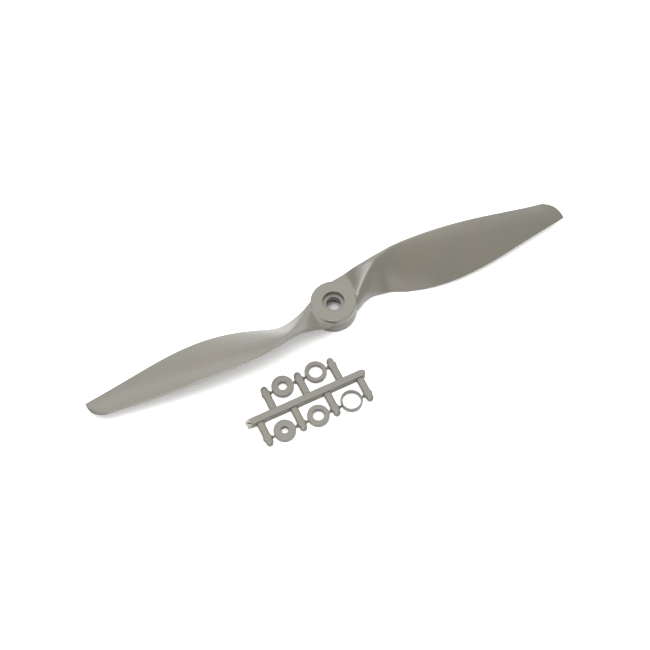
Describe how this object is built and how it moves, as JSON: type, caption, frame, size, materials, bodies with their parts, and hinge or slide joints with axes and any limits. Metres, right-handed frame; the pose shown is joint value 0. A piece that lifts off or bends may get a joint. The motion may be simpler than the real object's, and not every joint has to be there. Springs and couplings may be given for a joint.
{
  "type": "propeller",
  "caption": "Fixed-pitch model aeroplane propeller with slim twisted blades and a thick round hub, and a moulded tree of shaft adapter rings beside it.",
  "frame": {"origin": "on the shaft axis, in the plane of the hub's rear face, on which the propeller lies", "axes": "+Z along the shaft axis out of the hub's front face, +X along one blade, +Y towards that blade's leading edge"},
  "size_m": [0.2286, 0.0624, 0.0146],
  "materials": {
    "propeller": "satin moulded grey plastic, filled with short fibres",
    "ring_tree": "satin moulded grey plastic",
    "ring_4_mm": "satin moulded grey plastic",
    "ring_6_mm": "satin moulded grey plastic",
    "ring_eighth_inch": "satin moulded grey plastic",
    "ring_5_mm": "satin moulded grey plastic",
    "ring_five_sixteenth_inch": "satin moulded grey plastic"
  },
  "bodies": {
    "propeller": {"propeller": "propeller"},
    "ring_tree": {"ring_tree": "ring_tree"},
    "ring_4_mm": {"ring_4_mm": "ring_4_mm"},
    "ring_6_mm": {"ring_6_mm": "ring_6_mm"},
    "ring_eighth_inch": {"ring_eighth_inch": "ring_eighth_inch"},
    "ring_5_mm": {"ring_5_mm": "ring_5_mm"},
    "ring_five_sixteenth_inch": {"ring_five_sixteenth_inch": "ring_five_sixteenth_inch"}
  },
  "joints": [
    {"name": "ring_tree_lift", "type": "slide", "parent": "propeller", "child": "ring_tree", "axis": [0, 0, 1], "range_m": [0, 0.04]},
    {"name": "ring_4_mm_lift", "type": "slide", "parent": "ring_tree", "child": "ring_4_mm", "axis": [0, 0, 1], "range_m": [0, 0.015]},
    {"name": "ring_6_mm_lift", "type": "slide", "parent": "ring_tree", "child": "ring_6_mm", "axis": [0, 0, 1], "range_m": [0, 0.015]},
    {"name": "ring_eighth_inch_lift", "type": "slide", "parent": "ring_tree", "child": "ring_eighth_inch", "axis": [0, 0, 1], "range_m": [0, 0.015]},
    {"name": "ring_5_mm_lift", "type": "slide", "parent": "ring_tree", "child": "ring_5_mm", "axis": [0, 0, 1], "range_m": [0, 0.015]},
    {"name": "ring_five_sixteenth_inch_lift", "type": "slide", "parent": "ring_tree", "child": "ring_five_sixteenth_inch", "axis": [0, 0, 1], "range_m": [0, 0.015]}
  ]
}
